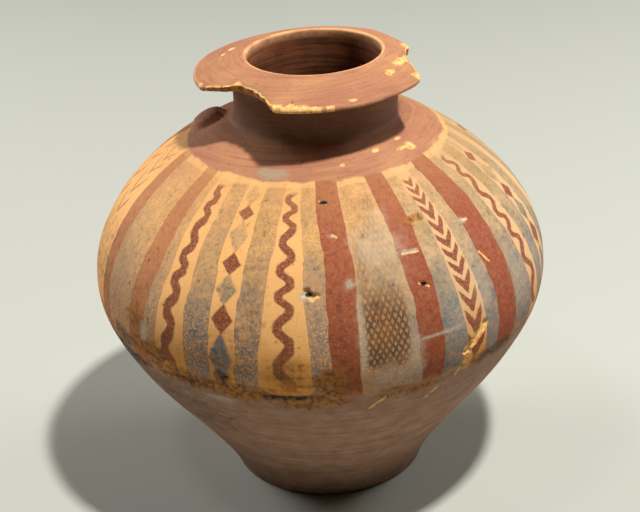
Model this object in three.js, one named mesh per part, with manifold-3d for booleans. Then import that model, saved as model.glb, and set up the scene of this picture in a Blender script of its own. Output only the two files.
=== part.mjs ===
// A painted earthenware jar: a flat base, a wide belly, a short neck and a broad rim that slopes down
// and outwards. It is one fired piece, hollow, with one small lug on the shoulder.
// The rim has lost two pieces of its edge.
// Millimetres, +Z up. The origin is the middle of the underside. Azimuth 0 faces -Y and grows towards +X.
import * as THREE from "three";
import { mergeVertices } from "three/addons/utils/BufferGeometryUtils.js";
import Module from "manifold-3d";

// Driving dimensions
const HEIGHT = 315;
const BASE_RADIUS = 70.5;
const BASE_EDGE_ROUND = 2;
const BASE_THICKNESS = 9;
const BELLY_RADIUS = 160;
const BELLY_HEIGHT = 159;
const WALL = 7;
const NECK_FOOT_RADIUS = 62;
const NECK_FOOT_HEIGHT = 269.3;
const NECK_RADIUS = 56.5;
const MOUTH_RADIUS = 46;
const RIM_RADIUS = 82;
const RIM_DROP = 10;
const RIM_EDGE_THICKNESS = 3.6;
const NECK_OFFSET = 3;
const RIM_TILT = 0.01;
const LUG = { azimuth: -102, radius: 75.5, height: 264, radial: 10.5, tangential: 15, proud: 7 };

// How finely the curves are divided
const SEGMENTS_ROUND = 64;
const BODY_STEPS = 13;
const NECK_STEPS = 5;
const EDGE_STEPS = 4;

const at = (radius, height) => new THREE.Vector2(radius, height);

// Points along a cubic curve, without its first point.
function curvePoints(start, control1, control2, end, steps) {
  const curve = new THREE.CubicBezierCurve(start, control1, control2, end);
  return curve.getPoints(steps).slice(1);
}

// The lower wall leaves the foot steeply, flares out and turns upright at the belly.
// The shoulder closes in from the belly and lies nearly flat where it meets the neck.
function bodyOutline() {
  const foot = at(BASE_RADIUS, BASE_EDGE_ROUND);
  const footFlare = at(BASE_RADIUS + 14.8, 0.283 * BELLY_HEIGHT);
  const underBelly = at(BELLY_RADIUS, 0.689 * BELLY_HEIGHT);
  const belly = at(BELLY_RADIUS, BELLY_HEIGHT);
  const overBelly = at(BELLY_RADIUS, BELLY_HEIGHT + 44.7);
  const shoulder = at(NECK_FOOT_RADIUS + 51.3, NECK_FOOT_HEIGHT - 19.9);
  const neckFoot = at(NECK_FOOT_RADIUS, NECK_FOOT_HEIGHT);
  return [
    foot,
    ...curvePoints(foot, footFlare, underBelly, belly, BODY_STEPS),
    ...curvePoints(belly, overBelly, shoulder, neckFoot, BODY_STEPS),
  ];
}

// The neck rises from a soft hollow at its foot and turns out into the rim's underside.
function neckOutline() {
  const rimUnderHeight = HEIGHT - RIM_DROP - RIM_EDGE_THICKNESS;
  const foot = at(NECK_FOOT_RADIUS, NECK_FOOT_HEIGHT);
  const hollowLow = at(NECK_RADIUS + 1.5, NECK_FOOT_HEIGHT + 1.5);
  const hollowHigh = at(NECK_RADIUS, NECK_FOOT_HEIGHT + 4);
  const waistLow = at(NECK_RADIUS, NECK_FOOT_HEIGHT + 10);
  const waistHigh = at(NECK_RADIUS, NECK_FOOT_HEIGHT + 22.7);
  const turnOut = at(NECK_RADIUS, rimUnderHeight + 2.6);
  const underRim = at(RIM_RADIUS - 21, rimUnderHeight + 6.6);
  const rimUnder = at(RIM_RADIUS - 1.5, rimUnderHeight);
  return [
    ...curvePoints(foot, hollowLow, hollowHigh, waistLow, NECK_STEPS),
    waistHigh,
    ...curvePoints(waistHigh, turnOut, underRim, rimUnder, NECK_STEPS),
  ];
}

// The rim's rounded edge, its sloping top and the rounded lip of the mouth.
function rimOutline() {
  const edgeTop = HEIGHT - RIM_DROP;
  const edgeBottom = edgeTop - RIM_EDGE_THICKNESS;
  const low = at(RIM_RADIUS - 1.5, edgeBottom);
  const edgeLow = at(RIM_RADIUS + 0.5, edgeBottom + 0.4);
  const edgeHigh = at(RIM_RADIUS + 0.5, edgeTop - 0.4);
  const high = at(RIM_RADIUS - 1.5, edgeTop);
  const crown = at((RIM_RADIUS + MOUTH_RADIUS) / 2, HEIGHT - RIM_DROP / 2 + 1.2);
  const lipOuter = at(MOUTH_RADIUS + 4, HEIGHT);
  const lipTop = at(MOUTH_RADIUS + 1, HEIGHT);
  const lipTurn = at(MOUTH_RADIUS, HEIGHT - 1);
  const lipInner = at(MOUTH_RADIUS, HEIGHT - 3);
  return [
    ...curvePoints(low, edgeLow, edgeHigh, high, EDGE_STEPS),
    ...curvePoints(high, crown, crown, lipOuter, 3),
    ...curvePoints(lipOuter, lipTop, lipTurn, lipInner, EDGE_STEPS),
  ];
}

// The outline moved inwards by the wall's thickness, square to it, from the neck down to the floor.
// The floor's edge is a soft turn, as a hand leaves it.
function insideOutline(outside) {
  const inside = [];
  for (let i = outside.length - 3; i >= 2; i -= 2) {
    const along = outside[i + 1].clone().sub(outside[i - 1]).normalize();
    inside.push(at(outside[i].x - along.y * WALL, outside[i].y + along.x * WALL));
  }
  const lowest = inside[inside.length - 1];
  const down = lowest.clone().sub(inside[inside.length - 2]).setLength(1.4 * WALL);
  const turnIn = lowest.clone().add(down);
  const turnFlat = at(lowest.x - 1.3 * WALL, BASE_THICKNESS);
  const floorEdge = at(lowest.x - 2.7 * WALL, BASE_THICKNESS);
  inside.push(...curvePoints(lowest, turnIn, turnFlat, floorEdge, 4));
  return inside;
}

// The whole section of the jar: up the outside, over the rim, down the throat and the inside to the floor.
function jarProfile() {
  const body = bodyOutline();
  return [
    at(0, 0),
    at(BASE_RADIUS - BASE_EDGE_ROUND, 0),
    ...body,
    ...neckOutline(),
    ...rimOutline(),
    at(MOUTH_RADIUS + 0.6, HEIGHT - 14),
    at(MOUTH_RADIUS + 2.5, NECK_FOOT_HEIGHT + 10),
    at(MOUTH_RADIUS + 5, NECK_FOOT_HEIGHT),
    ...insideOutline(body),
    at(0, BASE_THICKNESS),
  ];
}

// The neck was set on a little to one side of the belly's axis, and the rim leans with it.
function leanNeck(geometry) {
  const place = geometry.getAttribute("position");
  for (let i = 0; i < place.count; i++) {
    const share = THREE.MathUtils.smoothstep(place.getZ(i), NECK_FOOT_HEIGHT - 20, NECK_FOOT_HEIGHT + 15);
    place.setZ(i, place.getZ(i) + share * RIM_TILT * place.getX(i));
    place.setX(i, place.getX(i) + share * NECK_OFFSET);
  }
}

// Where the rim broke: the edge that is left, as [azimuth in degrees, distance from the neck's axis].
const FRONT_BREAK = [
  [-70, 86], [-67.5, 79.5], [-59, 73], [-48, 65], [-40, 66], [-33, 68], [-27, 73], [-22.5, 78], [-18, 86],
];
const SIDE_BREAK = [
  [16, 86], [28, 81], [45, 80], [57, 80], [61, 79], [68, 71], [74, 65], [82, 62.3], [91, 61.5],
  [97, 64], [101, 66.5], [111, 64], [121, 62], [136, 65.5], [149, 75], [157, 86],
];
const BREAK_BOTTOM = NECK_FOOT_HEIGHT + 27;
const BREAK_CLEAR = 20;

// The lost piece of rim as an upright block whose inner side is the broken edge.
function lostPiece(edge) {
  const inPlan = ([azimuth, distance]) => {
    const angle = THREE.MathUtils.degToRad(azimuth);
    return at(NECK_OFFSET + distance * Math.sin(angle), -distance * Math.cos(angle));
  };
  const broken = new THREE.SplineCurve(edge.map(inPlan)).getPoints(2 * edge.length);
  const beyond = edge.map(([azimuth]) => inPlan([azimuth, RIM_RADIUS + BREAK_CLEAR])).reverse();
  const outline = new THREE.Shape([...broken, ...beyond]);
  const depth = HEIGHT + BREAK_CLEAR - BREAK_BOTTOM;
  const block = new THREE.ExtrudeGeometry(outline, { depth, bevelEnabled: false });
  return block.translate(0, 0, BREAK_BOTTOM);
}

// A low rounded lug that sits square on the slope of the shoulder.
function shoulderLug() {
  const shoulderSlope = THREE.MathUtils.degToRad(32);
  const angle = THREE.MathUtils.degToRad(LUG.azimuth - 90);
  return new THREE.SphereGeometry(1, 14, 10)
    .rotateX(Math.PI / 2)
    .scale(LUG.radial, LUG.tangential, LUG.proud)
    .rotateY(shoulderSlope)
    .rotateZ(angle)
    .translate(LUG.radius * Math.cos(angle), LUG.radius * Math.sin(angle), LUG.height);
}

const wasm = await Module();
wasm.setup();

// A closed geometry as a solid that can be joined and cut.
function solidFrom(geometry) {
  geometry.deleteAttribute("normal");
  geometry.deleteAttribute("uv");
  const merged = mergeVertices(geometry, 1e-3);
  const vertProperties = merged.attributes.position.array;
  const triVerts = new Uint32Array(merged.index.array);
  return new wasm.Manifold(new wasm.Mesh({ numProp: 3, vertProperties, triVerts }));
}

function geometryFrom(solid) {
  const mesh = solid.getMesh();
  const geometry = new THREE.BufferGeometry();
  geometry.setAttribute("position", new THREE.BufferAttribute(mesh.vertProperties, 3));
  geometry.setIndex(new THREE.BufferAttribute(mesh.triVerts, 1));
  geometry.computeVertexNormals();
  return geometry;
}

function jarGeometry() {
  const turned = new THREE.LatheGeometry(jarProfile(), SEGMENTS_ROUND).rotateX(Math.PI / 2);
  leanNeck(turned);
  const whole = solidFrom(turned).add(solidFrom(shoulderLug()));
  const frontBroken = whole.subtract(solidFrom(lostPiece(FRONT_BREAK)));
  return geometryFrom(frontBroken.subtract(solidFrom(lostPiece(SIDE_BREAK))));
}

const earthenware = new THREE.MeshStandardMaterial({ color: 0xb98a5c, roughness: 0.75, metalness: 0 });

const paintedJar = new THREE.Group();
const jar = new THREE.Mesh(jarGeometry(), earthenware);
jar.name = "jar";
paintedJar.add(jar);

export default paintedJar;
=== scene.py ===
# %% [markdown]
# # A painted storage jar
# The real object is one piece of fired clay: a hand-built jar with a flat base, a wide belly, a short neck
# and a broad rim, brushed with coloured slips before firing. The solid from the CAD step fixes its size and
# place. Here that solid gets the finer skin it stands for: broken edges, gouges, brushwork and wear.

import math

import bmesh
import bpy
import numpy as np
from mathutils import Matrix, Vector, noise
from mathutils.geometry import interpolate_bezier


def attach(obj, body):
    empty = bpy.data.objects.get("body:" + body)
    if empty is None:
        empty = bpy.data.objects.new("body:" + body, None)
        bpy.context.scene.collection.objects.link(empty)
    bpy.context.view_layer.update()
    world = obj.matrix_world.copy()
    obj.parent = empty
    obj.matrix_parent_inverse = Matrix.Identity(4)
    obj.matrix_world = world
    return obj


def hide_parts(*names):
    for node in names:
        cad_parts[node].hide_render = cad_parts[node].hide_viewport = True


MM = 0.001
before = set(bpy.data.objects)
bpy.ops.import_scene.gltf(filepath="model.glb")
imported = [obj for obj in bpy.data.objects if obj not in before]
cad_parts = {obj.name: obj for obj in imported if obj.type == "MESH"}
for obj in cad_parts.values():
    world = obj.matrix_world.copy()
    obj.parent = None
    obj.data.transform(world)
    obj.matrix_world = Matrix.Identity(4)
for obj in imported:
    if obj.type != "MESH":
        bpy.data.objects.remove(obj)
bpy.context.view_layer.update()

# %% [markdown]
# ## Camera
# The view looks down on the shoulder from about a metre away, a little tilted, as a visitor holds a camera.
# Its place, lens and tilt were solved together from the rim's ellipses and the jar's outline.

# %% Camera
CAMERA_PLACE = Vector((0.0, -1.0, 0.6613))
LOOK_DOWN = math.radians(26.65)
TILT = math.radians(-3.03)
LENS_MM = 87.2

camera_data = bpy.data.cameras.new("camera")
camera_data.lens = LENS_MM
camera_data.sensor_width = 36.0
camera_data.sensor_fit = "HORIZONTAL"
camera = bpy.data.objects.new("camera", camera_data)
aim = Matrix.Rotation(math.pi / 2 - LOOK_DOWN, 4, "X") @ Matrix.Rotation(TILT, 4, "Z")
camera.matrix_world = Matrix.Translation(CAMERA_PLACE) @ aim
bpy.context.collection.objects.link(camera)
bpy.context.scene.camera = camera
bpy.context.scene.view_settings.view_transform = "Standard"
print("camera at", tuple(CAMERA_PLACE))

# %% [markdown]
# ## Helpers for colours and nodes
# Colours are written as the sRGB hex values a painter would pick and turned to linear light in one place.
# Every node of every material but the strips' colour ramp is added by one small function, which takes its
# inputs in socket order.

# %% Colour and node helpers
def linear(hex_colour):
    """An sRGB hex value such as e3aa6e as a linear colour with full alpha."""
    channels = [int(hex_colour[i:i + 2], 16) / 255 for i in (0, 2, 4)]
    return tuple(c / 12.92 if c <= 0.04045 else ((c + 0.055) / 1.055) ** 2.4 for c in channels) + (1.0,)


def new_material(name):
    material = bpy.data.materials.new(name)
    material.use_nodes = True
    material.node_tree.nodes.clear()
    return material


def node(tree, kind, *inputs, out=0, named=None, **settings):
    """Add one node: its settings by name, its inputs in order (None leaves one alone) or by socket name."""
    made = tree.nodes.new(kind)
    for key, value in settings.items():
        setattr(made, key, value)
    wanted = [(made.inputs[i], value) for i, value in enumerate(inputs) if value is not None]
    wanted += [(made.inputs[key], value) for key, value in (named or {}).items()]
    for socket, value in wanted:
        if isinstance(value, bpy.types.NodeSocket):
            tree.links.new(value, socket)
        else:
            socket.default_value = value
    return made.outputs[out] if made.outputs else made


COORDS = "ShaderNodeTexCoord"
MATH = "ShaderNodeMath"
VECTOR = "ShaderNodeVectorMath"
RANGE = "ShaderNodeMapRange"
NOISE = "ShaderNodeTexNoise"
MIX = "ShaderNodeMixRGB"
OBJECT_SOCKET = 3

# %% [markdown]
# ## Stage
# A plain pale floor and soft studio light. The main lamp hangs almost overhead, a little to the right and in
# front: that direction is read from the shadow that the rim throws on the shoulder. A second, weak lamp at
# the left softens that shadow. Broad panels behind the jar at both sides light its edges without reaching
# under the rim.

# %% Floor
floor_mesh = bpy.data.meshes.new("floor")
floor_shape = bmesh.new()
bmesh.ops.create_grid(floor_shape, x_segments=1, y_segments=1, size=6.0)
floor_shape.to_mesh(floor_mesh)
floor_shape.free()
floor = bpy.data.objects.new("floor", floor_mesh)
bpy.context.collection.objects.link(floor)

floor_paint = new_material("matt_painted_board")
tree = floor_paint.node_tree
board = node(tree, "ShaderNodeBsdfPrincipled", named={"Base Color": linear("adb0a8"), "Roughness": 0.85})
node(tree, "ShaderNodeOutputMaterial", board)
floor_mesh.materials.append(floor_paint)


# %% Lamps
def lamp(name, place, target, side, watts, colour):
    data = bpy.data.lights.new(name, "AREA")
    data.size = side
    data.energy = watts
    data.color = colour
    made = bpy.data.objects.new(name, data)
    made.location = place
    made.rotation_euler = (Vector(target) - Vector(place)).to_track_quat("-Z", "Y").to_euler()
    bpy.context.collection.objects.link(made)


SHOULDER = (0.0, 0.0, 0.2)
lamp("main_lamp", (0.66, -0.55, 2.45), SHOULDER, 0.16, 84, (1.0, 0.97, 0.92))
lamp("second_lamp", (-0.75, -0.45, 2.3), SHOULDER, 0.3, 4, (1.0, 0.98, 0.95))
lamp("left_panel", (-1.7, 1.0, 1.1), SHOULDER, 0.9, 30, (1.0, 0.98, 0.95))
lamp("right_panel", (1.8, 0.9, 1.1), SHOULDER, 0.9, 24, (1.0, 0.98, 0.95))

world = bpy.data.worlds.new("studio")
world.use_nodes = True
world.node_tree.nodes["Background"].inputs["Color"].default_value = (0.9, 0.95, 1.0, 1.0)
world.node_tree.nodes["Background"].inputs["Strength"].default_value = 0.01
bpy.context.scene.world = world
print("stage: floor, two lamps, two soft panels and a faint even sky")

# %% [markdown]
# ## The jar's section
# A potter shapes a jar round an axis, so its section, turned once round, gives the whole form. The section
# runs from the middle of the base up the outside, over the rim, and down the throat and the inside to the
# floor. It has the same driving sizes as the solid, with many more points, because the skin has to carry
# small chips and gouges.

# %% Driving sizes in millimetres
HEIGHT = 315.0
BASE_RADIUS = 70.5
BASE_THICKNESS = 9.0
BELLY_RADIUS = 160.0
BELLY_HEIGHT = 159.0
WALL = 7.0
NECK_FOOT = (62.0, 269.3)
NECK_RADIUS = 56.5
MOUTH_RADIUS = 46.0
RIM_RADIUS = 82.0
RIM_DROP = 10.0
RIM_EDGE = 3.6
NECK_OFFSET = 3.0
RIM_TILT = 0.01


# %% Draw the section
def at(radius, height):
    return Vector((radius, height))


def curve(start, pull_1, pull_2, end, steps):
    return interpolate_bezier(start, pull_1, pull_2, end, steps + 1)[1:]


foot = at(BASE_RADIUS, 2.0)
belly = at(BELLY_RADIUS, BELLY_HEIGHT)
neck_foot = at(*NECK_FOOT)
lower_wall = curve(foot, at(BASE_RADIUS + 14.8, 45.0), at(BELLY_RADIUS, 109.5), belly, 64)
shoulder = curve(belly, at(BELLY_RADIUS, 203.7), at(113.3, 249.4), neck_foot, 58)
body = [foot] + lower_wall + shoulder

edge_top = HEIGHT - RIM_DROP
edge_bottom = edge_top - RIM_EDGE
waist_low = at(NECK_RADIUS, NECK_FOOT[1] + 10)
waist_high = at(NECK_RADIUS, NECK_FOOT[1] + 22.7)
rim_under = at(RIM_RADIUS - 1.5, edge_bottom)
rim_high = at(RIM_RADIUS - 1.5, edge_top)
crown = at((RIM_RADIUS + MOUTH_RADIUS) / 2, HEIGHT - RIM_DROP / 2 + 1.2)
lip_outer = at(MOUTH_RADIUS + 2, HEIGHT)
lip_inner = at(MOUTH_RADIUS, HEIGHT - 1.6)

neck = curve(neck_foot, at(NECK_RADIUS + 1.5, 270.8), at(NECK_RADIUS, 273.3), waist_low, 7)
neck += curve(waist_low, waist_low.lerp(waist_high, 0.33), waist_low.lerp(waist_high, 0.67), waist_high, 4)
underside = curve(waist_high, at(NECK_RADIUS, edge_bottom + 2.6), at(RIM_RADIUS - 21, edge_bottom + 6.6),
                  rim_under, 18)
nose = curve(rim_under, at(RIM_RADIUS + 0.5, edge_bottom + 0.4), at(RIM_RADIUS + 0.5, edge_top - 0.4),
             rim_high, 8)
rim_top = curve(rim_high, crown, crown, lip_outer, 18)
lip = curve(lip_outer, at(MOUTH_RADIUS + 0.6, HEIGHT), at(MOUTH_RADIUS, HEIGHT - 0.5), lip_inner, 6)

throat_end = at(MOUTH_RADIUS + 5, NECK_FOOT[1])
throat = curve(lip_inner, at(MOUTH_RADIUS + 0.5, 300), at(MOUTH_RADIUS + 1, 284), throat_end, 8)
# Every sixth point of the wall, moved in by its thickness, is enough for the inside.
inside = []
for i in range(len(body) - 12, 8, -6):
    along = (body[i + 1] - body[i - 1]).normalized()
    inside.append(at(body[i].x - along.y * WALL, body[i].y + along.x * WALL))
floor_edge = at(inside[-1].x - 19, BASE_THICKNESS)
inside += curve(inside[-1], at(inside[-1].x - 4, 15), at(inside[-1].x - 9, BASE_THICKNESS), floor_edge, 5)

base = [at(0, 0), at(35, 0), at(60, 0), at(BASE_RADIUS - 2, 0), at(BASE_RADIUS - 0.6, 0.6)]
section = base + body + neck + underside + nose + rim_top + lip + throat + inside + [at(0, BASE_THICKNESS)]
print("section has", len(section), "points")

# %% Turn the section round
ROUND_STEPS = 384
jar_shape = bmesh.new()
points = [jar_shape.verts.new((0, -p.x * MM, p.y * MM)) for p in section]
lines = [jar_shape.edges.new(pair) for pair in zip(points, points[1:])]
bmesh.ops.spin(jar_shape, geom=points + lines, cent=(0, 0, 0), axis=(0, 0, 1), angle=2 * math.pi,
               steps=ROUND_STEPS, use_merge=True)
bmesh.ops.remove_doubles(jar_shape, verts=jar_shape.verts, dist=0.01 * MM)
bmesh.ops.recalc_face_normals(jar_shape, faces=jar_shape.faces)
print("turned:", len(jar_shape.faces), "faces")


# %% [markdown]
# ## Marks of use
# Long use and burial left gouges, a pit and small chips in the wall. Each is a short stroke on the surface
# with a width and a depth, given by the azimuth and height of its two ends. The faces round each one are
# divided more finely first, so that its edge can be crisp while the rest of the jar stays light.

# %% List the marks
def on_wall(azimuth, height):
    """The point of the outer wall at an azimuth in degrees (0 faces -Y, growing to +X) and a height in mm."""
    heights = [p.y for p in body]
    radius = np.interp(height, heights, [p.x for p in body])
    angle = math.radians(azimuth)
    return np.array([radius * math.sin(angle), -radius * math.cos(angle), height])


# Each mark: azimuth and height of one end, of the other end, half-width, depth.
MARKS = [
    (41.2, 165.5, 35.2, 151.0, 3.7, 1.7),
    (36.2, 149.0, 33.2, 133.5, 1.9, 0.9),
    (15.0, 131.5, 10.6, 120.5, 1.5, 0.8),
    (28.9, 127.6, 25.6, 117.9, 1.1, 0.6),
    (-3.9, 206.6, -2.4, 203.6, 3.0, 2.6),
    (-4.6, 205.0, -1.0, 204.4, 1.9, 1.4),
    (25.2, 203.2, 27.4, 200.6, 1.3, 1.6),
    (47.0, 224.6, 48.2, 224.4, 1.3, 0.5),
    (23.0, 219.8, 27.6, 219.0, 0.9, 0.4),
    (4.0, 233.8, 5.2, 232.4, 0.8, 0.4),
    (46.0, 207.0, 48.0, 199.5, 0.8, 0.4),
    (1.0, 249.0, 3.2, 247.6, 0.7, 0.7),
]
ends = [(on_wall(a, h), on_wall(b, k), width, depth) for a, h, b, k, width, depth in MARKS]


def off_stroke(place, start, end):
    """How far points lie from the stroke between two ends."""
    stroke = end - start
    share = np.clip((place - start) @ stroke / (stroke @ stroke), 0, 1)
    return np.linalg.norm(place - start - share[:, None] * stroke, axis=1)


# %% Divide the faces round the marks
FINE_MARGIN = 3.0
FINE_CUTS = 3
corners = np.array([v.co for v in jar_shape.verts]) / MM
jar_shape.verts.ensure_lookup_table()
near = np.zeros(len(corners), bool)
for start, end, width, depth in ends:
    near |= off_stroke(corners, start, end) < width + FINE_MARGIN
fine = [e for e in jar_shape.edges if near[e.verts[0].index] and near[e.verts[1].index]]
bmesh.ops.subdivide_edges(jar_shape, edges=fine, cuts=FINE_CUTS, use_grid_fill=True)
print("divided", len(fine), "edges; now", len(jar_shape.faces), "faces")

jar_mesh = bpy.data.meshes.new("painted_jar")
jar_shape.to_mesh(jar_mesh)
jar_shape.free()


# %% [markdown]
# ## Shape the skin
# The turned form is too perfect, so its points are moved. Each move is worked out for all points together,
# in millimetres, from where a point lies on the turned form: its azimuth, its distance from the axis and its
# height.

# %% Places of the points
def grain(place, size, seed):
    """Smooth noise between -1 and 1 at each point, with features of about the given size in mm."""
    return np.array([noise.noise(Vector(p) / size + Vector((seed, 2 * seed, 3 * seed))) for p in place])


def smooth_step(low, high, value):
    share = np.clip((value - low) / (high - low), 0, 1)
    return share * share * (3 - 2 * share)


flat = np.empty(3 * len(jar_mesh.vertices))
jar_mesh.vertices.foreach_get("co", flat)
skin = flat.reshape(-1, 3) / MM
facing = np.empty(3 * len(jar_mesh.vertices))
jar_mesh.vertices.foreach_get("normal", facing)
facing = facing.reshape(-1, 3)
radius = np.hypot(skin[:, 0], skin[:, 1])
height = skin[:, 2].copy()
azimuth = np.degrees(np.arctan2(skin[:, 0], -skin[:, 1]))
outward = facing[:, 0] * skin[:, 0] + facing[:, 1] * skin[:, 1]
LIP_START, THROAT_LIMIT, SHOULDER_TOP, FOOT_TOP = 313, 54, 268, 2
in_throat = (height < LIP_START) & (radius < THROAT_LIMIT)
in_body = (outward < 0) & (height < SHOULDER_TOP)
is_inside = (in_throat | in_body) & (height > FOOT_TOP)
print("inside points:", int(is_inside.sum()), "of", len(skin))

# %% [markdown]
# ### The broken rim
# Two pieces of the rim's edge are lost: one at the front left, one round the right side towards the back.
# The rim's points beyond the edge that is left are drawn in to it, and the rounded nose there becomes the
# rough, steep face of a break. The outline is what is left at each azimuth, measured from the neck's axis.

# %% Break the rim
EDGE_LEFT = [
    (-180, 82), (-150, 82), (-125, 82.6), (-108, 83.4), (-95, 82.6), (-80, 82), (-70, 81.8), (-68, 80),
    (-63, 75.8), (-59, 73), (-54, 69.2), (-49, 65.4), (-47, 64.8), (-45, 65.8), (-40, 66), (-33, 68.2),
    (-27, 72.8), (-22.5, 78), (-19.5, 82.4), (-14, 82.6), (5, 82.4), (18, 81.6), (30, 80.8), (45, 80.1),
    (57, 80), (60.5, 79.2), (64.5, 75.3), (68, 71), (72, 66.9), (76.6, 64.1), (87.6, 61.6), (95, 63.4),
    (100.5, 66.4), (105, 65.1), (111, 64), (119, 61.6), (128, 63), (138, 67), (147, 73.5), (154, 81),
    (157, 82), (180, 82),
]
edge_azimuth, edge_radius = np.array(EDGE_LEFT).T
BREAK_ROOT = 58.0
RIM_START = 296
RIM_MIDDLE = 70
in_rim = (radius > BREAK_ROOT) & (height > RIM_START)
rim_place = skin[in_rim]
rim_radius = radius[in_rim]
rim_height = height[in_rim]
rim_azimuth = azimuth[in_rim]

turned = np.radians(rim_azimuth)
ring = np.stack([RIM_MIDDLE * np.sin(turned), RIM_MIDDLE * np.cos(turned), 0 * turned], 1)
left = np.interp(rim_azimuth, edge_azimuth, edge_radius)
broken = smooth_step(80.4, 78.6, left)
left += grain(ring, 3.0, 1) * (0.15 + 0.55 * broken) + grain(ring, 9.0, 2) * (0.35 + 0.4 * broken)

tops = np.array([(p.x, p.y) for p in reversed(rim_top)])
unders = np.array([(p.x, p.y) for p in underside])


def rim_surface(line, distance):
    return np.interp(distance, line[:, 0], line[:, 1])


over = rim_surface(tops, rim_radius) - rim_surface(unders, rim_radius)
level = np.clip((rim_height - rim_surface(unders, rim_radius)) / over, 0, 1)
drawn_in = BREAK_ROOT + (rim_radius - BREAK_ROOT) * (left - BREAK_ROOT) / (RIM_RADIUS - BREAK_ROOT)
on_nose = smooth_step(RIM_RADIUS - 2.2, RIM_RADIUS - 1.4, rim_radius)
slant = 1.3 * (level - 0.5)
face = left + slant + grain(rim_place, 2.2, 3) * 0.7
drawn_in += on_nose * broken * (face - drawn_in)
new_under = rim_surface(unders, drawn_in)
new_height = new_under + level * (rim_surface(tops, drawn_in) - new_under)
new_height += on_nose * broken * grain(rim_place, 1.8, 4) * 0.3
skin[in_rim, 0] *= drawn_in / rim_radius
skin[in_rim, 1] *= drawn_in / rim_radius
skin[in_rim, 2] = new_height
fresh = np.zeros(len(skin))
fresh[in_rim] = on_nose * broken
print("rim points moved:", int(in_rim.sum()))

# %% [markdown]
# ### The lug, the lean and the hand
# A low lug was pressed on the left shoulder, the neck was set on a little to one side, and the wall keeps the
# slight unevenness of a scraped, hand-built pot.

# %% Lug on the shoulder
LUG_AZIMUTH, LUG_RADIUS, LUG_HEIGHT = -102.0, 75.5, 264.0
LUG_ACROSS, LUG_ALONG, LUG_PROUD = 11.5, 16.0, 6.6
LUG_LOWEST, LUG_HIGHEST = 245, 275
angle = math.radians(LUG_AZIMUTH)
outwards = np.array([math.sin(angle), -math.cos(angle), 0.0])
sideways = np.array([math.cos(angle), math.sin(angle), 0.0])
from_lug = skin - (LUG_RADIUS * outwards + np.array([0, 0, LUG_HEIGHT]))
reach = np.hypot(from_lug @ outwards / LUG_ACROSS, from_lug @ sideways / LUG_ALONG)
on_shoulder = (height > LUG_LOWEST) & (height < LUG_HIGHEST) & ~is_inside
lift = np.where(on_shoulder, np.sqrt(np.clip(1 - reach ** 2, 0, 1)) * smooth_step(1.0, 0.8, reach), 0)
skin += facing * (LUG_PROUD * lift)[:, None]

# %% Uneven wall
uneven = 0.55 * grain(skin, 55, 5) + 0.22 * grain(skin, 17, 6)
uneven += 0.06 * grain(skin * np.array([0.06, 0.06, 1.0]), 2.6, 7) * smooth_step(150, 110, height)
uneven *= smooth_step(0.5, 8, height) * (1 - 0.7 * smooth_step(285, 300, height))
skin += facing * uneven[:, None]

# %% Gouges and pits
wear_edge = grain(skin, 2.4, 8)
for start, end, width, depth in ends:
    away = off_stroke(skin, start, end) + 0.35 * width * wear_edge
    cut = smooth_step(1.0, 0.45, away / width)
    skin -= facing * (depth * cut)[:, None]
    fresh = np.maximum(fresh, smooth_step(1.05, 0.8, away / width))

# %% Lean of the neck
SHARP_EDGE = math.radians(48)
radius_now = np.hypot(skin[:, 0], skin[:, 1])
share = smooth_step(NECK_FOOT[1] - 20, NECK_FOOT[1] + 15, height)
skin[:, 2] += share * RIM_TILT * skin[:, 0]
skin[:, 0] += share * NECK_OFFSET

jar_mesh.vertices.foreach_set("co", (skin * MM).ravel())
jar_mesh.polygons.foreach_set("use_smooth", [True] * len(jar_mesh.polygons))
jar_mesh.set_sharp_from_angle(angle=SHARP_EDGE)
jar_mesh.update()
print("skin shaped:", len(jar_mesh.polygons), "faces")

# %% [markdown]
# ## Where the brush went
# The painter divided the shoulder into upright strips. The strips lean a little, and the lines drawn on them
# lean in their own way. So each point of the wall is given its place in the painter's layout: its azimuth
# among the strips, its azimuth among the lines, and a count of waves from the collar down, because every wavy
# line, row of leaves and chain of lozenges grows longer towards the belly. The back is laid out as a mirror
# of the front, since it can't be seen.

# %% Lay out the painting
LEAN_OF_STRIPS = [
    (-90, 0), (-72, 6), (-50, -2), (-39, 0), (-25, 0), (-13, -4), (-5.5, 2.5), (0, 1.8), (8, -0.4), (21, 2),
    (28.5, -0.4), (37, 0.7), (45.5, 0.6), (54, -1.4), (62.4, 2.4), (76, -1), (90, 0),
]
WAVE_CRESTS = [
    (100, 7.3), (145, 6), (176, 5), (197, 4), (211, 3), (224, 2), (238, 1), (246, 0), (254, -1), (262, -2),
]
LEAN_OF_LINES = [
    (-90, 0), (-50, -1), (-39.5, -0.4), (-25, 0), (-9.5, -0.2), (37.3, 0.7), (62.4, 2.2), (76, 0), (90, 0),
]
STRIP_TOP, STRIP_FALL = 245, 85
line_azimuth, line_lean = np.array(LEAN_OF_LINES, float).T
strip_azimuth, strip_lean = np.array(LEAN_OF_STRIPS, float).T
crest_height, crest_count = np.array(WAVE_CRESTS, float).T
seen_azimuth = np.degrees(np.arctan2(skin[:, 0], np.abs(skin[:, 1])))
fallen = np.clip((STRIP_TOP - height) / STRIP_FALL, -0.15, 1.25)
strip = seen_azimuth - np.interp(seen_azimuth, strip_azimuth, strip_lean) * fallen
line = seen_azimuth - np.interp(seen_azimuth, line_azimuth, line_lean) * fallen
waves = np.interp(height, crest_height, crest_count)
brush = jar_mesh.attributes.new("brush", "FLOAT_VECTOR", "POINT")
brush.data.foreach_set("vector", np.stack([strip, waves, line], 1).astype(np.float32).ravel())
hollow = jar_mesh.attributes.new("hollow", "FLOAT", "POINT")
hollow.data.foreach_set("value", is_inside.astype(np.float32))
print("strips from", round(strip.min()), "to", round(strip.max()), "degrees")

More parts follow.
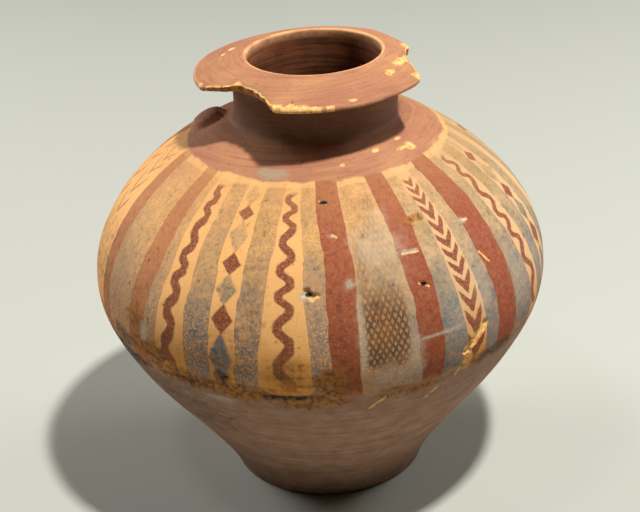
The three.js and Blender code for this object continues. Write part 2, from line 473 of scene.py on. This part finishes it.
# %% [markdown]
# ### Lime, soil and soot
# In the ground, lime and soil settled on the wall and water moved them about. Each patch is an oval on the
# wall: its azimuth and height, its half-width and half-height in millimetres, and how strong it is. Later the
# material breaks the ovals up into specks.

# %% Patches on the wall
LIME_PATCHES = [
    (16.5, 226, 22, 13, 0.55), (17, 212, 20, 10, 0.4), (19, 238, 10, 8, 0.45), (8.8, 178, 4, 34, 0.6),
    (21.5, 160, 8, 20, 0.55), (7.2, 209, 5, 4, 0.7), (-20, 259.5, 15, 3.0, 0.62), (25, 220, 8, 1.4, 0.75),
    (28, 170.5, 18, 1.3, 0.8), (-4.2, 204.6, 6, 4, 0.75), (16, 148, 22, 9, 0.5), (-48, 164, 5, 8, 0.8),
    (33, 176, 10, 22, 0.35), (42, 185, 9, 25, 0.35), (57, 180, 12, 28, 0.35), (-16, 150, 8, 10, 0.3),
    (-28, 127, 14, 3, 0.7), (46.6, 224.5, 3, 1.3, 0.9), (3.5, 233, 2.5, 1.2, 0.8),
]
SOIL_PATCHES = [
    (-46, 152, 22, 10, 0.95), (-36, 139, 36, 10, 0.85), (-20, 137, 30, 10, 0.85), (-9, 156, 16, 20, 0.55),
    (1, 147, 14, 16, 0.85), (-4, 131, 34, 8, 0.8), (20, 131, 30, 7, 0.7), (-52, 172, 10, 12, 0.7),
    (14, 180, 15, 22, 0.4), (31, 234, 9, 2.5, 0.8), (-24, 170, 22, 20, 0.35), (-17, 195, 12, 30, 0.3),
    (-85, 185, 60, 26, 0.4), (60, 138, 40, 6, 0.5), (-75, 150, 50, 12, 0.7),
]
SOOT_PATCHES = [
    (-9.5, 136.2, 26, 2.6, 0.9), (-36, 138, 16, 4, 0.7), (14, 200, 16, 16, 0.4), (-25, 147, 9, 9, 0.75),
    (-64, 135, 50, 12, 0.8), (12.5, 163, 12, 8, 0.4), (4, 190, 3, 30, 0.35), (-58, 150, 18, 12, 0.7),
    (45, 139, 30, 6, 0.7), (2.1, 248.3, 3.2, 0.9, 1.0), (26.2, 202, 2.6, 1.4, 1.0),
    (-3.4, 205.2, 3.2, 1.8, 1.0), (-39, 204.2, 1.6, 1.4, 1.0), (-33, 207.1, 2.6, 1.2, 0.8),
    (67.3, 195.6, 2.0, 1.2, 1.0), (-70, 190, 60, 30, 0.22), (-48, 104, 70, 34, 0.5),
]


def patches(listed, seed):
    """How strongly the listed ovals cover each point of the outer wall, with uneven edges."""
    uneven_edge = 0.35 * grain(skin, 5.0, seed) + 0.15 * grain(skin, 2.0, seed + 1)
    cover = np.zeros(len(skin))
    for where, level, half_wide, half_high, strength in listed:
        across = np.radians((azimuth - where + 180) % 360 - 180) * radius / half_wide
        off = np.hypot(across, (height - level) / half_high) + uneven_edge
        cover = np.maximum(cover, strength * smooth_step(1.25, 0.45, off))
    return np.where(is_inside, 0, cover)


stains = np.stack([patches(LIME_PATCHES, 11), patches(SOIL_PATCHES, 13), patches(SOOT_PATCHES, 15)], 1)
stain = jar_mesh.attributes.new("stain", "FLOAT_VECTOR", "POINT")
stain.data.foreach_set("vector", stains.astype(np.float32).ravel())
print("points under lime, soil, soot:", [int((column > 0.2).sum()) for column in stains.T])

# %% [markdown]
# ### Chips on the rim and the collar
# Small knocks took the red slip off the rim's edges and the collar and show the yellow-orange clay. Those of
# the rim are given by azimuth, distance from the neck's axis and size. Those of the collar are given by
# azimuth, height, half-width and half-height.

# %% Rim chips
RIM_CHIPS = [
    (50.5, 63.5, 3.2), (65.6, 60.5, 4.0), (72, 63, 4.0), (76.5, 63, 3.0), (17.3, 78, 2.0), (62, 77, 4.0),
    (-112, 61, 3.0), (-104, 64, 2.0), (-19, 81, 4.0), (-12, 81.5, 4.5), (-6, 81.5, 3.5), (0, 82, 2.6),
    (6, 82, 2.2), (-72, 81, 2.5), (-35, 69, 2.5), (-50, 66, 2.2), (100, 65.5, 5.0),
]
COLLAR_CHIPS = [
    (52.8, 261.7, 4.2, 1.6), (51.2, 265.8, 3.0, 0.9), (32.8, 265.0, 3.4, 0.9), (47, 262.4, 5.0, 0.8),
    (12, 262, 2.5, 0.6),
]
RIM_UNDERSIDE = 299
on_rim = (height > RIM_UNDERSIDE) & ~is_inside
knock_edge = 0.4 * grain(skin, 3.0, 17)
for where, distance, size in RIM_CHIPS:
    across = np.radians((azimuth - where + 180) % 360 - 180) * radius
    off = np.hypot(across / 1.4, radius_now - distance) / size + knock_edge
    fresh = np.where(on_rim, np.maximum(fresh, 0.85 * smooth_step(1.7, 0.3, off)), fresh)
for where, level, half_wide, half_high in COLLAR_CHIPS:
    across = np.radians(azimuth - where) * radius / half_wide
    off = np.hypot(across, (height - level) / half_high) + knock_edge
    fresh = np.where(on_rim | is_inside, fresh, np.maximum(fresh, 0.85 * smooth_step(1.9, 0.3, off)))
bare = jar_mesh.attributes.new("bare_clay", "FLOAT", "POINT")
bare.data.foreach_set("value", fresh.astype(np.float32))

# %% [markdown]
# ## Painted earthenware
# Low-fired clay is porous, matt and brown. Slips, which are thin clay paints, lie on it: a cream ground,
# blue-grey and red strips, red brushwork, and an all-over red on collar, neck and rim. Rubbing, soil and lime
# have worn and stained them. The material is built in that order, one layer over the other.

# %% Places and noises
painted_clay = new_material("painted_slip_on_low_fired_clay")
tree = painted_clay.node_tree
place = node(tree, VECTOR, node(tree, COORDS, out=OBJECT_SOCKET), (1 / MM,) * 3, operation="MULTIPLY")
to_right = node(tree, "ShaderNodeSeparateXYZ", place, out=0)
up = node(tree, "ShaderNodeSeparateXYZ", place, out=2)
layout_place = node(tree, "ShaderNodeAttribute", attribute_name="brush", out=1)
strip_at, wave_at, line_at = node(tree, "ShaderNodeSeparateXYZ", layout_place).node.outputs
inner = node(tree, "ShaderNodeAttribute", attribute_name="hollow", out=2)
stain_place = node(tree, "ShaderNodeAttribute", attribute_name="stain", out=1)
lime_at, soil_at, soot_at = node(tree, "ShaderNodeSeparateXYZ", stain_place).node.outputs
bare_at = node(tree, "ShaderNodeAttribute", attribute_name="bare_clay", out=2)

cloud = node(tree, NOISE, place, None, 1 / 45, 3.0, 0.55)
blotch = node(tree, NOISE, place, None, 1 / 14, 4.0, 0.6)
ragged = node(tree, NOISE, place, None, 1 / 3.6, 3.0, 0.6)
speckle = node(tree, NOISE, place, None, 1 / 1.5, 2.0, 0.6)
upright = node(tree, VECTOR, place, (1.0, 1.0, 0.12), operation="MULTIPLY")
streak = node(tree, NOISE, upright, None, 1 / 2.2, 3.0, 0.6)
level_lines = node(tree, VECTOR, place, (0.05, 0.05, 1.0), operation="MULTIPLY")
scrape = node(tree, NOISE, level_lines, None, 1 / 3.0, 4.0, 0.6)
fine_wear = node(tree, RANGE, speckle, 0.3, 0.7, -0.5, 0.5, clamp=False)
wide_wear = node(tree, RANGE, blotch, 0.3, 0.7, -0.5, 0.5, clamp=False)
mid_wear = node(tree, RANGE, ragged, 0.3, 0.7, -0.5, 0.5, clamp=False)

# %% Hand-drawn places
wander = node(tree, NOISE, place, None, 1 / 30, 2.0, 0.5)
shift = node(tree, RANGE, wander, 0.3, 0.7, -0.6, 0.6)
fray = node(tree, MATH, mid_wear, 0.2, shift, operation="MULTIPLY_ADD")
strip_hand = node(tree, MATH, strip_at, fray, operation="ADD")
line_hand = node(tree, MATH, line_at, node(tree, MATH, mid_wear, 0.42, operation="MULTIPLY"), operation="ADD")
up_hand = node(tree, MATH, wide_wear, 13.0, up, operation="MULTIPLY_ADD")
up_collar = node(tree, MATH, wide_wear, 1.3, up, operation="MULTIPLY_ADD")

# %% [markdown]
# ### The clay and the cream ground
# The bare clay of the lower wall is brown, scraped round in level lines. The cream ground covers the wall
# from below the belly to the collar. It has yellowed in clouds and is rubbed thin along the brush strokes.
# Towards the right it is painted paler and greyer as painted sheen, and high on the right shoulder darker and
# greyer as painted shade. Lower down an orange stain has soaked in.

# %% Clay and ground
clay = node(tree, MIX, node(tree, RANGE, blotch, 0.35, 0.68, 0.0, 1.0), linear("90684f"), linear("a3806a"))
clay = node(tree, MIX, node(tree, RANGE, scrape, 0.48, 0.7, 0.0, 0.45), clay, linear("6a4a39"))
ground = node(tree, MIX, node(tree, RANGE, cloud, 0.35, 0.65, 0.0, 1.0), linear("e2aa6c"), linear("d29b62"))
# Painted sheen: the ground turns paler and greyer towards the right.
ground = node(tree, MIX, node(tree, RANGE, to_right, 0.0, 75.0, 0.0, 1.0), ground, linear("cba375"))
# Painted shade: high on the right shoulder the ground is darkened and greyed where the light falls off.
painted_shade_upper_right = node(tree, MATH, node(tree, RANGE, to_right, 60.0, 110.0, 0.0, 0.75),
            node(tree, RANGE, up_hand, 215.0, 240.0, 0.0, 1.0), operation="MULTIPLY")
ground = node(tree, MIX, painted_shade_upper_right, ground, linear("99805c"))
ground = node(tree, MIX, node(tree, RANGE, streak, 0.5, 0.72, 0.0, 0.45), ground, linear("b98353"))
ground = node(tree, MIX, node(tree, RANGE, speckle, 0.58, 0.70, 0.0, 0.6), ground, linear("a67343"))
ground = node(tree, MIX, node(tree, RANGE, ragged, 0.56, 0.72, 0.0, 0.5), ground, linear("bb8048"))
low_orange = node(tree, RANGE, up_hand, 185.0, 148.0, 0.0, 0.85)
ground = node(tree, MIX, low_orange, ground, linear("df9034"))
painted = node(tree, RANGE, up_hand, 133.0, 142.0, 0.0, 1.0, interpolation_type="SMOOTHSTEP")
colour = node(tree, MIX, painted, clay, ground)

# %% [markdown]
# ### The strips
# One colour ramp holds the painter's layout round the jar. Its red channel is the red slip, its green channel
# the blue-grey slip and its blue channel the clean cream of the strips that carry brushwork.

# %% Ramp of strips
CREAM, GREY, RED, BUFF = (0, 0, 1, 1), (0, 1, 0, 1), (1, 0, 0, 1), (0, 0.7, 0, 1)
FAINT_RED, NET = (0.68, 0, 0, 1), (0, 0.75, 0, 1)
STRIPS = [
    (-90, CREAM), (-76, FAINT_RED), (-69.5, BUFF), (-53.5, FAINT_RED), (-47, BUFF), (-43.5, CREAM),
    (-35.5, GREY), (-28.5, CREAM), (-21, GREY), (-12.7, CREAM), (-6, GREY), (-0.5, RED), (7.8, NET),
    (21, RED), (28.7, GREY), (34.3, CREAM), (40.2, GREY), (45.3, RED), (54.3, GREY), (59.3, CREAM),
    (65.5, GREY), (73, CREAM), (80, GREY), (86.5, CREAM),
]
ramp = tree.nodes.new("ShaderNodeValToRGB")
ramp.color_ramp.interpolation = "CONSTANT"
while len(ramp.color_ramp.elements) < len(STRIPS):
    ramp.color_ramp.elements.new(1.0)
for element, (start, paint) in zip(ramp.color_ramp.elements, STRIPS):
    element.position = (start + 90) / 180
    element.color = paint
tree.links.new(node(tree, RANGE, strip_hand, -90.0, 90.0, 0.0, 1.0), ramp.inputs[0])
red_strip, grey_strip, clean_strip = node(tree, "ShaderNodeSeparateColor", ramp.outputs[0]).node.outputs

# %% Clean cream under the brushwork
clean = node(tree, MATH, clean_strip, node(tree, RANGE, up_hand, 158.0, 182.0, 0.0, 0.55),
             operation="MULTIPLY")
# Painted sheen: the clean cream turns paler and greyer towards the right.
clean_cream = node(tree, MIX, node(tree, RANGE, to_right, 0.0, 75.0, 0.0, 1.0), linear("f3b871"),
                   linear("d0a979"))
colour = node(tree, MIX, clean, colour, clean_cream)

# %% Blue-grey slip
# Thin and rubbed near the collar, thicker and bluer towards the belly, with specks of the ground showing.
grey_depth = node(tree, RANGE, up, 256.0, 176.0, 0.2, 0.92)
grey_depth = node(tree, MATH, fine_wear, 0.35, grey_depth, operation="MULTIPLY_ADD")
grey_depth = node(tree, MATH, mid_wear, 0.45, grey_depth, operation="MULTIPLY_ADD")
grey_depth = node(tree, MATH, wide_wear, 0.45, grey_depth, operation="MULTIPLY_ADD", use_clamp=True)
grey_mask = node(tree, MATH, node(tree, MATH, grey_strip, grey_depth, operation="MULTIPLY"), painted,
                 operation="MULTIPLY")
flecks = node(tree, MATH, node(tree, RANGE, speckle, 0.51, 0.59, 0.0, 1.0),
              node(tree, RANGE, up_hand, 222.0, 186.0, 0.05, 0.85), operation="MULTIPLY")
flecks = node(tree, MATH, flecks, node(tree, RANGE, to_right, 20.0, 70.0, 1.0, 0.3), operation="MULTIPLY")
grey_mask = node(tree, MATH, grey_mask, node(tree, MATH, 0.92, flecks, operation="SUBTRACT"),
                 operation="MULTIPLY", use_clamp=True)
grey = node(tree, MIX, node(tree, RANGE, up, 235.0, 185.0, 0.0, 1.0), linear("7d7046"), linear("56636a"))
grey = node(tree, MIX, node(tree, RANGE, cloud, 0.42, 0.6, 0.0, 0.5), grey, linear("757775"))
colour = node(tree, MIX, grey_mask, colour, grey)

# %% Red slip of the strips
red = node(tree, MIX, node(tree, RANGE, streak, 0.3, 0.7, 0.0, 1.0), linear("96452a"), linear("863a26"))
red = node(tree, MIX, node(tree, RANGE, up, 225.0, 165.0, 0.0, 0.7), red, linear("702a1c"))
red = node(tree, MIX, node(tree, RANGE, to_right, 20.0, 90.0, 0.0, 0.65), red, linear("84301d"))
red_depth = node(tree, MATH, fine_wear, 0.16, 0.88, operation="MULTIPLY_ADD")
red_depth = node(tree, MATH, mid_wear, 0.14, red_depth, operation="MULTIPLY_ADD", use_clamp=True)
red_mask = node(tree, MATH, node(tree, MATH, red_strip, red_depth, operation="MULTIPLY"), painted,
                operation="MULTIPLY")
colour = node(tree, MIX, red_mask, colour, red)

# %% [markdown]
# ### Brushwork
# On the cream strips the painter drew wavy lines, chains of lozenges and a row of leaves with a red brush. A
# stroke is everything nearer to its middle line than half the brush's width, so each motif is a distance, cut
# off softly. Across the strip it is measured in degrees, along it in waves.

# %% Wavy lines
# Each line: strip azimuth of its middle, its swing, half its width, all in degrees.
WAVY_LINES = [(-39.4, 0.8, 1.15), (-9.4, 1.4, 1.15), (62.4, 1.2, 0.95)]
turn = node(tree, MATH, wave_at, 2 * math.pi, operation="MULTIPLY")
swing = node(tree, MATH, turn, operation="COSINE")
steep = node(tree, MATH, turn, operation="SINE")
steep = node(tree, MATH, node(tree, MATH, steep, steep, operation="MULTIPLY"), 1.3, 1.0,
             operation="MULTIPLY_ADD")
square_on = node(tree, MATH, steep, operation="INVERSE_SQRT")
strokes = None
for middle, reach, half in WAVY_LINES:
    across = node(tree, MATH, line_hand, -middle, operation="ADD")
    off_line = node(tree, MATH, swing, -reach, across, operation="MULTIPLY_ADD")
    off_line = node(tree, MATH, node(tree, MATH, off_line, operation="ABSOLUTE"), square_on,
                    operation="MULTIPLY")
    drawn = node(tree, RANGE, off_line, half + 0.22, half - 0.22, 0.0, 1.0)
    strokes = drawn if strokes is None else node(tree, MATH, strokes, drawn, operation="MAXIMUM")
line_top = node(tree, RANGE, up_collar, 253.0, 251.0, 0.0, 1.0)
line_end = node(tree, RANGE, up_hand, 141.0, 150.0, 0.0, 1.0)
strokes = node(tree, MATH, node(tree, MATH, strokes, line_top, operation="MULTIPLY"), line_end,
               operation="MULTIPLY")

# %% Row of leaves
# Pairs of short strokes that rise from the strip's middle: a V, repeated a little more than every half wave.
LEAF_MIDDLE, LEAF_REACH, LEAF_STEP, LEAF_RISE = 37.3, 2.75, 0.57, 0.17
from_stem = node(tree, MATH, node(tree, MATH, line_hand, -LEAF_MIDDLE, operation="ADD"), operation="ABSOLUTE")
leaf_at = node(tree, MATH, from_stem, LEAF_RISE, wave_at, operation="MULTIPLY_ADD")
leaf_at = node(tree, MATH, leaf_at, 1 / LEAF_STEP, -0.44, operation="MULTIPLY_ADD")
off_leaf = node(tree, MATH, leaf_at, 0.5, operation="PINGPONG")
off_leaf = node(tree, MATH, from_stem, 0.045, off_leaf, operation="MULTIPLY_ADD")
leaf = node(tree, RANGE, off_leaf, 0.37, 0.29, 0.0, 1.0)
leaf_width = node(tree, RANGE, from_stem, LEAF_REACH, LEAF_REACH - 0.4, 0.0, 1.0)
leaf_zone = node(tree, MATH, node(tree, RANGE, up, 252.0, 250.0, 0.0, 1.0),
                 node(tree, RANGE, up, 140.0, 146.0, 0.0, 1.0), operation="MULTIPLY")
leaf = node(tree, MATH, node(tree, MATH, leaf, leaf_width, operation="MULTIPLY"), leaf_zone,
            operation="MULTIPLY")
strokes = node(tree, MATH, strokes, leaf, operation="MAXIMUM")

# %% Chains of lozenges
# Red and grey lozenges take turns; both strips share one measure along the chain.
LOZENGE_MIDDLES, LOZENGE_HALF, LOZENGE_TALL = (-24.7, 76.0), 3.0, 0.46
along_chain = node(tree, MATH, node(tree, MATH, wave_at, -0.42, operation="ADD"), 1.0, operation="PINGPONG")
grey_lozenges = None
for middle in LOZENGE_MIDDLES:
    across = node(tree, MATH, node(tree, MATH, line_hand, -middle, operation="ADD"), operation="ABSOLUTE")
    across = node(tree, MATH, across, 1 / LOZENGE_HALF, operation="MULTIPLY")
    off_red = node(tree, MATH, along_chain, 1 / LOZENGE_TALL, across, operation="MULTIPLY_ADD")
    from_grey = node(tree, MATH, 1.0, along_chain, operation="SUBTRACT")
    off_grey = node(tree, MATH, from_grey, 1 / (1.4 * LOZENGE_TALL), across, operation="MULTIPLY_ADD")
    red_lozenge = node(tree, RANGE, off_red, 1.06, 0.86, 0.0, 1.0)
    grey_lozenge = node(tree, RANGE, off_grey, 1.1, 0.85, 0.0, 1.0)
    strokes = node(tree, MATH, strokes, node(tree, MATH, red_lozenge, line_top, operation="MULTIPLY"),
                   operation="MAXIMUM")
    grey_lozenges = grey_lozenge if grey_lozenges is None else node(tree, MATH, grey_lozenges,
                                                                    grey_lozenge, operation="MAXIMUM")
grey_lozenges = node(tree, MATH, node(tree, MATH, grey_lozenges, grey_depth, operation="MULTIPLY"),
                     painted, operation="MULTIPLY")
colour = node(tree, MIX, grey_lozenges, colour, grey)

# %% Faint zigzag of the far strip
zig_at = node(tree, MATH, node(tree, MATH, line_hand, 84.0, operation="ADD"), operation="ABSOLUTE")
zig = node(tree, MATH, zig_at, 0.22, wave_at, operation="MULTIPLY_ADD")
zig = node(tree, MATH, zig, 0.5, operation="PINGPONG")
zig = node(tree, MATH, node(tree, RANGE, zig, 0.2, 0.12, 0.0, 0.55),
           node(tree, RANGE, zig_at, 4.2, 3.4, 0.0, 1.0), operation="MULTIPLY")
zig = node(tree, MATH, zig, node(tree, RANGE, up, 200.0, 212.0, 0.0, 1.0), operation="MULTIPLY")
strokes = node(tree, MATH, strokes, node(tree, MATH, zig, line_top, operation="MULTIPLY"),
               operation="MAXIMUM")
stroke_depth = node(tree, MATH, fine_wear, 0.4, 0.92, operation="MULTIPLY_ADD", use_clamp=True)
strokes = node(tree, MATH, node(tree, MATH, strokes, stroke_depth, operation="MULTIPLY"), painted,
               operation="MULTIPLY")
colour = node(tree, MIX, strokes, colour, linear("7d3f2b"))

# %% [markdown]
# ### The net
# One strip carries a net of crossing grey lines. Two sets of slanting lines are drawn over an orange ground
# and fade out above, where lime covers them.

# %% Net of crossing lines
NET_MIDDLE, NET_HALF, MESH_WIDE, MESH_TALL = 14.6, 5.4, 1.5, 7.0
net_across = node(tree, MATH, node(tree, MATH, line_hand, -NET_MIDDLE, operation="ADD"), 1 / MESH_WIDE,
                  operation="MULTIPLY")
net_lines = None
for lean in (1, -1):
    slant_at = node(tree, MATH, up, lean / MESH_TALL, net_across, operation="MULTIPLY_ADD")
    off_net = node(tree, MATH, slant_at, 0.5, operation="PINGPONG")
    drawn = node(tree, RANGE, off_net, 0.27, 0.15, 0.0, 1.0)
    net_lines = drawn if net_lines is None else node(tree, MATH, net_lines, drawn, operation="MAXIMUM")
in_net = node(tree, MATH, node(tree, MATH, net_across, operation="ABSOLUTE"), MESH_WIDE, operation="MULTIPLY")
in_net = node(tree, RANGE, in_net, NET_HALF + 0.6, NET_HALF - 0.8, 0.0, 1.0)
net_low = node(tree, MATH, in_net, node(tree, RANGE, up_hand, 156.0, 164.0, 0.0, 1.0), operation="MULTIPLY")
net_strength = node(tree, RANGE, up_hand, 206.0, 190.0, 0.2, 1.0)
net_top = node(tree, RANGE, up_collar, 253.0, 249.0, 0.0, 1.0)
net_strength = node(tree, MATH, net_strength, net_top, operation="MULTIPLY")
net_worn = node(tree, MATH, wide_wear, 0.5, net_strength, operation="MULTIPLY_ADD", use_clamp=True)
net_low = node(tree, MATH, net_low, net_worn, operation="MULTIPLY")
colour = node(tree, MIX, node(tree, MATH, net_low, 0.75, operation="MULTIPLY"), colour, linear("b87834"))
net_lines = node(tree, MATH, node(tree, MATH, net_lines, net_low, operation="MULTIPLY"), stroke_depth,
                 operation="MULTIPLY")
colour = node(tree, MIX, net_lines, colour, linear("454440"))

# %% [markdown]
# ### Collar, neck and rim
# The wall turns browner and darker just below the collar. Collar, neck and rim carry one coat of red slip over
# everything, brushed round; its lower edge wavers. Under the rim the neck's slip is painted dark, as painted
# shade of the overhanging rim. On the rim's lip and edge hands have rubbed it down to the paler clay.

# %% Browner wall under the collar
# The wall turns browner and darker towards the collar.
browner_below_collar = node(tree, RANGE, up_hand, 228.0, 256.0, 0.0, 0.38)
colour = node(tree, MIX, browner_below_collar, colour, linear("a5794a"))

# %% Red collar
collar = node(tree, RANGE, up_collar, 256.2, 257.4, 0.0, 1.0, interpolation_type="SMOOTHSTEP")
border = node(tree, MATH, node(tree, RANGE, up_collar, 253.8, 254.8, 0.0, 0.55),
              node(tree, MATH, 1.0, red_strip, operation="SUBTRACT"), operation="MULTIPLY")
colour = node(tree, MIX, border, colour, linear("dba86c"))
neck_place = node(tree, VECTOR, place, (-NECK_OFFSET, 0.0, 0.0), operation="ADD")
neck_place = node(tree, VECTOR, neck_place, (1.0, 1.0, 0.0), operation="MULTIPLY")
neck_out = node(tree, VECTOR, neck_place, operation="LENGTH", out=1)
ring_place = node(tree, "ShaderNodeCombineXYZ", neck_out, up, 0.0)
ring_place = node(tree, VECTOR, place, (0.14, 0.14, 0.14), ring_place, operation="MULTIPLY_ADD")
rings = node(tree, NOISE, ring_place, None, 1 / 2.4, 3.0, 0.65)
red_all = node(tree, MIX, node(tree, RANGE, cloud, 0.35, 0.65, 0.0, 1.0), linear("b07e58"), linear("9f6b50"))
red_all = node(tree, MIX, node(tree, RANGE, rings, 0.48, 0.68, 0.0, 0.5), red_all, linear("8d523b"))
red_all = node(tree, MIX, node(tree, RANGE, speckle, 0.6, 0.72, 0.0, 0.6), red_all, linear("8a5038"))
red_all = node(tree, MIX, node(tree, RANGE, rings, 0.40, 0.26, 0.0, 0.45), red_all, linear("c88f66"))
colour = node(tree, MIX, collar, colour, red_all)
# Painted shade: the neck under the rim is darkened towards black, standing in for the rim's shadow.
painted_recess_shade = node(tree, MATH, node(tree, RANGE, up, 266.0, 274.0, 0.0, 0.55),
              node(tree, RANGE, up, 303.0, 297.0, 0.0, 1.0), operation="MULTIPLY")
colour = node(tree, MIX, painted_recess_shade, colour, linear("38211a"))
lip_worn = node(tree, RANGE, neck_out, 48.6, 47.8, 0.0, 1.0)
edge_worn = node(tree, RANGE, neck_out, 80.2, 82.2, 0.0, 0.6)
rubbed = node(tree, MATH, node(tree, MATH, lip_worn, edge_worn, operation="MAXIMUM"),
              node(tree, RANGE, up, 299.0, 303.0, 0.0, 1.0), operation="MULTIPLY")
rubbed = node(tree, MATH, rubbed, node(tree, RANGE, blotch, 0.36, 0.56, 0.15, 0.9), operation="MULTIPLY")
colour = node(tree, MIX, rubbed, colour, linear("d9a473"))

# %% [markdown]
# ### The inside and the breaks
# The inside was never painted: it is bare clay, scraped in level lines. Chips and gouges show fresh, yellower
# clay, while the steep faces of the rim's long breaks are painted darker, as painted shade.

# %% Inside and fresh breaks
inner_clay = node(tree, MIX, node(tree, RANGE, blotch, 0.35, 0.65, 0.0, 1.0), linear("8c5634"),
                  linear("73432c"))
inner_clay = node(tree, MIX, node(tree, RANGE, scrape, 0.45, 0.62, 0.0, 0.75), inner_clay, linear("4a2819"))
colour = node(tree, MIX, inner, colour, inner_clay)
fresh_clay = node(tree, MIX, node(tree, RANGE, ragged, 0.40, 0.65, 0.0, 1.0), linear("efc27c"),
                  linear("c08443"))
# Painted shade: the steep faces of the rim's long breaks get a darker clay colour.
rim_break = node(tree, MATH, bare_at, node(tree, RANGE, up, 290.0, 296.0, 0.0, 1.0), operation="MULTIPLY")
break_clay_painted_shade = node(tree, MIX, node(tree, RANGE, ragged, 0.38, 0.62, 0.0, 1.0), linear("bd8040"),
                   linear("82512a"))
fresh_clay = node(tree, MIX, node(tree, RANGE, rim_break, 0.92, 0.99, 0.0, 1.0), fresh_clay, break_clay_painted_shade)
bare_edge = node(tree, MATH, mid_wear, 0.5, bare_at, operation="MULTIPLY_ADD")
bare_mask = node(tree, RANGE, bare_edge, 0.4, 0.62, 0.0, 1.0)
colour = node(tree, MIX, bare_mask, colour, fresh_clay)

# %% [markdown]
# ### Stains
# Dark specks lie all over the jar. Soil, lime and soot follow the ovals that were laid out before, and noise
# breaks each of them up, so that its edge looks settled and not painted.

# %% Stains over everything
specks = node(tree, MATH, node(tree, RANGE, ragged, 0.63, 0.70, 0.0, 0.65),
              node(tree, RANGE, blotch, 0.42, 0.6, 0.0, 1.0), operation="MULTIPLY")
colour = node(tree, MIX, specks, colour, linear("5a4029"))
level_wear = node(tree, RANGE, scrape, 0.3, 0.7, -0.5, 0.5, clamp=False)
soil = node(tree, MATH, level_wear, 0.9, soil_at, operation="MULTIPLY_ADD")
soil = node(tree, MATH, mid_wear, 0.5, soil, operation="MULTIPLY_ADD")
soil = node(tree, MATH, node(tree, MATH, soil, soil_at, operation="MULTIPLY"), 1.4, operation="MULTIPLY",
            use_clamp=True)
soil_colour = node(tree, MIX, node(tree, RANGE, ragged, 0.40, 0.62, 0.0, 1.0), linear("a86a24"),
                   linear("6b4220"))
colour = node(tree, MIX, soil, colour, soil_colour)
lime = node(tree, MATH, fine_wear, 0.7, lime_at, operation="MULTIPLY_ADD")
lime = node(tree, MATH, node(tree, MATH, lime, lime_at, operation="MULTIPLY"), 1.2, operation="MULTIPLY",
            use_clamp=True)
lime_colour = node(tree, MIX, node(tree, RANGE, up, 250.0, 256.0, 0.0, 1.0), linear("b9ae98"),
                   linear("8d9680"))
colour = node(tree, MIX, lime, colour, lime_colour)
soot = node(tree, MATH, mid_wear, 0.6, soot_at, operation="MULTIPLY_ADD")
soot = node(tree, MATH, node(tree, MATH, soot, soot_at, operation="MULTIPLY"), 1.3, operation="MULTIPLY",
            use_clamp=True)
colour = node(tree, MIX, soot, colour, linear("281c15"))

# %% [markdown]
# ### The surface
# Slip dries matt and a little gritty, so the shine is weak and a fine bump roughens it.

# %% Surface
grit = node(tree, MATH, speckle, ragged, operation="ADD")
bump = node(tree, "ShaderNodeBump", named={"Strength": 0.28, "Distance": 0.4 * MM, "Height": grit})
matt = {"Base Color": colour, "Roughness": 0.75, "Specular IOR Level": 0.25, "Normal": bump}
skin_shader = node(tree, "ShaderNodeBsdfPrincipled", named=matt)
node(tree, "ShaderNodeOutputMaterial", skin_shader)
print("material has", len(tree.nodes), "nodes")

# %% [markdown]
# ## The jar in its frame
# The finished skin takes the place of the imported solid, moves with the same body and fills its material slot.

# %% Put the jar in the frame
jar = bpy.data.objects.new("painted_jar", jar_mesh)
bpy.context.collection.objects.link(jar)
jar_mesh.materials.append(painted_clay)
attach(jar, "root")
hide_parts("jar")
